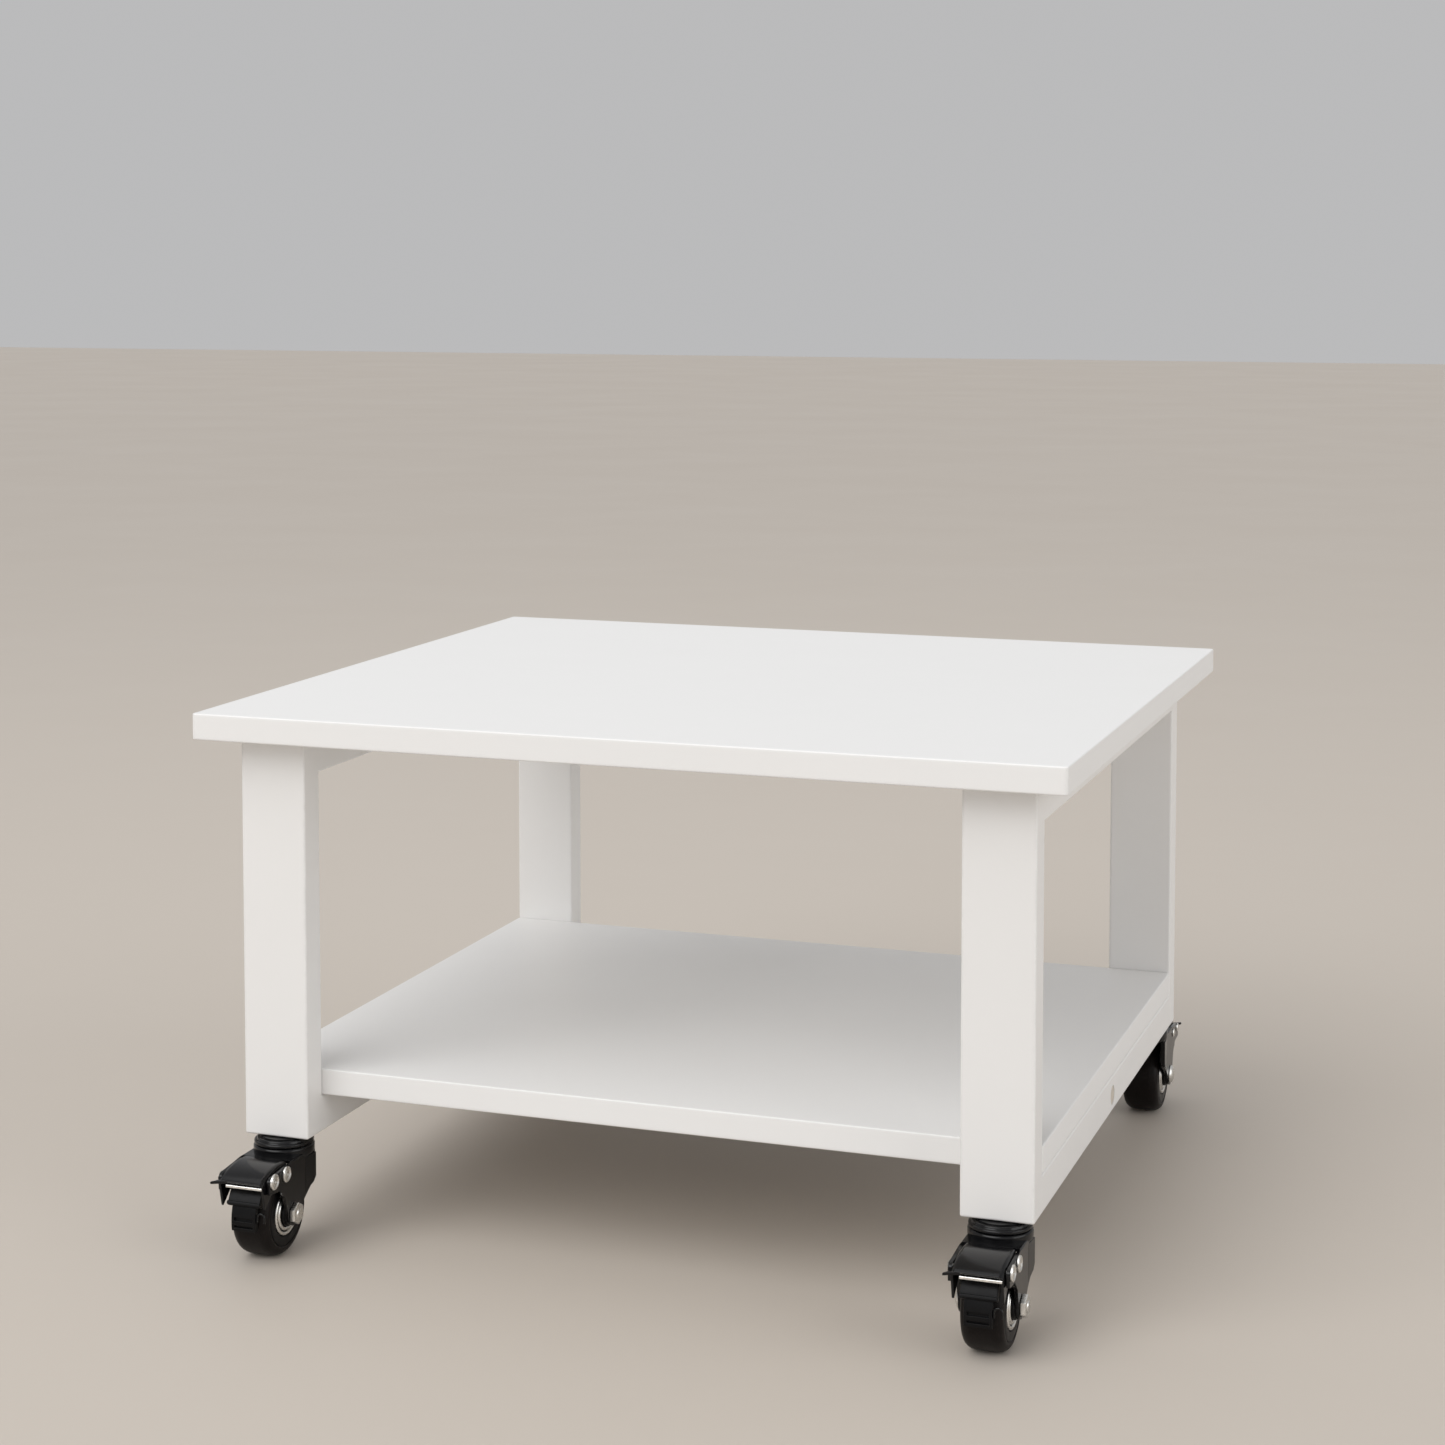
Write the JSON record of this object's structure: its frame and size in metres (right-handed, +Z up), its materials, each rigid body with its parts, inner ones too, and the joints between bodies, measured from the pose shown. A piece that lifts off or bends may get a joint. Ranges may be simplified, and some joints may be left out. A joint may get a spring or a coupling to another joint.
{
  "type": "mobile printer stand",
  "caption": "Low wheeled stand with a flat top board for a printer, an open storage bay above a lower shelf, and braked swivel casters under its legs.",
  "frame": {"origin": "on the floor under the middle of the top board", "axes": "+X to the right-hand side, +Y to the rear, +Z up"},
  "size_m": [0.5, 0.501, 0.3078],
  "materials": {
    "white_board": "satin white laminate on particle board",
    "white_lacquer": "satin white lacquer",
    "cap_plastic": "satin moulded",
    "black_steel": "glossy black coating on pressed steel",
    "bright_zinc": "bright zinc plated",
    "black_nylon": "satin moulded nylon",
    "black_tread": "satin soft tread"
  },
  "bodies": {
    "stand": {"top_board": "white_board", "shelf": "white_board", "cross_beam": "white_lacquer", "top_rail_left": "white_lacquer", "bottom_rail_left": "white_lacquer", "beam_bolt_left": "bright_zinc", "cover_cap_left": "cap_plastic", "top_rail_right": "white_lacquer", "bottom_rail_right": "white_lacquer", "beam_bolt_right": "bright_zinc", "cover_cap_right": "cap_plastic", "leg_front_left": "white_lacquer", "caster_stem_front_left": "black_steel", "leg_front_right": "white_lacquer", "caster_stem_front_right": "black_steel", "leg_rear_left": "white_lacquer", "caster_stem_rear_left": "black_steel", "leg_rear_right": "white_lacquer", "caster_stem_rear_right": "black_steel"},
    "swivel_front_left": {"fork_front_left": "black_steel", "ball_ring_front_left": "bright_zinc", "axle_bolt_front_left": "bright_zinc", "axle_nut_front_left": "bright_zinc", "pedal_pin_front_left": "bright_zinc"},
    "wheel_front_left": {"wheel_core_front_left": "black_nylon", "tyre_front_left": "black_tread"},
    "pedal_front_left": {"brake_pedal_front_left": "black_steel", "shoe_pin_front_left": "bright_zinc"},
    "shoe_front_left": {"brake_shoe_front_left": "black_nylon"},
    "swivel_front_right": {"fork_front_right": "black_steel", "ball_ring_front_right": "bright_zinc", "axle_bolt_front_right": "bright_zinc", "axle_nut_front_right": "bright_zinc", "pedal_pin_front_right": "bright_zinc"},
    "wheel_front_right": {"wheel_core_front_right": "black_nylon", "tyre_front_right": "black_tread"},
    "pedal_front_right": {"brake_pedal_front_right": "black_steel", "shoe_pin_front_right": "bright_zinc"},
    "shoe_front_right": {"brake_shoe_front_right": "black_nylon"},
    "swivel_rear_left": {"fork_rear_left": "black_steel", "ball_ring_rear_left": "bright_zinc", "axle_bolt_rear_left": "bright_zinc", "axle_nut_rear_left": "bright_zinc", "pedal_pin_rear_left": "bright_zinc"},
    "wheel_rear_left": {"wheel_core_rear_left": "black_nylon", "tyre_rear_left": "black_tread"},
    "pedal_rear_left": {"brake_pedal_rear_left": "black_steel", "shoe_pin_rear_left": "bright_zinc"},
    "shoe_rear_left": {"brake_shoe_rear_left": "black_nylon"},
    "swivel_rear_right": {"fork_rear_right": "black_steel", "ball_ring_rear_right": "bright_zinc", "axle_bolt_rear_right": "bright_zinc", "axle_nut_rear_right": "bright_zinc", "pedal_pin_rear_right": "bright_zinc"},
    "wheel_rear_right": {"wheel_core_rear_right": "black_nylon", "tyre_rear_right": "black_tread"},
    "pedal_rear_right": {"brake_pedal_rear_right": "black_steel", "shoe_pin_rear_right": "bright_zinc"},
    "shoe_rear_right": {"brake_shoe_rear_right": "black_nylon"}
  },
  "joints": [
    {"name": "brake_pedal_front_left", "type": "hinge", "parent": "swivel_front_left", "child": "pedal_front_left", "pos_m": [-0.21, -0.2245, 0.04977], "axis": [1, 0, 0], "range_deg": [0, 12]},
    {"name": "shoe_link_front_left", "type": "hinge", "parent": "pedal_front_left", "child": "shoe_front_left", "pos_m": [-0.21, -0.2386, 0.04977], "axis": [1, 0, 0], "range_deg": [-9, 0]},
    {"name": "caster_swivel_front_left", "type": "hinge", "parent": "stand", "child": "swivel_front_left", "pos_m": [-0.21, -0.196, 0.057], "axis": [0, 0, 1], "continuous": true},
    {"name": "wheel_roll_front_left", "type": "hinge", "parent": "swivel_front_left", "child": "wheel_front_left", "pos_m": [-0.21, -0.215, 0.0245], "axis": [1, 0, 0], "continuous": true},
    {"name": "brake_pedal_front_right", "type": "hinge", "parent": "swivel_front_right", "child": "pedal_front_right", "pos_m": [0.21, -0.2245, 0.04977], "axis": [1, 0, 0], "range_deg": [0, 12]},
    {"name": "shoe_link_front_right", "type": "hinge", "parent": "pedal_front_right", "child": "shoe_front_right", "pos_m": [0.21, -0.2386, 0.04977], "axis": [1, 0, 0], "range_deg": [-9, 0]},
    {"name": "caster_swivel_front_right", "type": "hinge", "parent": "stand", "child": "swivel_front_right", "pos_m": [0.21, -0.196, 0.057], "axis": [0, 0, 1], "continuous": true},
    {"name": "wheel_roll_front_right", "type": "hinge", "parent": "swivel_front_right", "child": "wheel_front_right", "pos_m": [0.21, -0.215, 0.0245], "axis": [1, 0, 0], "continuous": true},
    {"name": "brake_pedal_rear_left", "type": "hinge", "parent": "swivel_rear_left", "child": "pedal_rear_left", "pos_m": [-0.21, 0.2245, 0.04977], "axis": [-1, 0, 0], "range_deg": [0, 12]},
    {"name": "shoe_link_rear_left", "type": "hinge", "parent": "pedal_rear_left", "child": "shoe_rear_left", "pos_m": [-0.21, 0.2386, 0.04977], "axis": [-1, 0, 0], "range_deg": [-9, 0]},
    {"name": "caster_swivel_rear_left", "type": "hinge", "parent": "stand", "child": "swivel_rear_left", "pos_m": [-0.21, 0.196, 0.057], "axis": [0, 0, 1], "continuous": true},
    {"name": "wheel_roll_rear_left", "type": "hinge", "parent": "swivel_rear_left", "child": "wheel_rear_left", "pos_m": [-0.21, 0.215, 0.0245], "axis": [-1, 0, 0], "continuous": true},
    {"name": "brake_pedal_rear_right", "type": "hinge", "parent": "swivel_rear_right", "child": "pedal_rear_right", "pos_m": [0.21, 0.2245, 0.04977], "axis": [-1, 0, 0], "range_deg": [0, 12]},
    {"name": "shoe_link_rear_right", "type": "hinge", "parent": "pedal_rear_right", "child": "shoe_rear_right", "pos_m": [0.21, 0.2386, 0.04977], "axis": [-1, 0, 0], "range_deg": [-9, 0]},
    {"name": "caster_swivel_rear_right", "type": "hinge", "parent": "stand", "child": "swivel_rear_right", "pos_m": [0.21, 0.196, 0.057], "axis": [0, 0, 1], "continuous": true},
    {"name": "wheel_roll_rear_right", "type": "hinge", "parent": "swivel_rear_right", "child": "wheel_rear_right", "pos_m": [0.21, 0.215, 0.0245], "axis": [-1, 0, 0], "continuous": true}
  ],
  "couplings": [
    {"joint": "shoe_link_front_left", "follows": "brake_pedal_front_left", "ratio": -0.7372},
    {"joint": "shoe_link_front_right", "follows": "brake_pedal_front_right", "ratio": -0.7372},
    {"joint": "shoe_link_rear_left", "follows": "brake_pedal_rear_left", "ratio": -0.7372},
    {"joint": "shoe_link_rear_right", "follows": "brake_pedal_rear_right", "ratio": -0.7372}
  ]
}
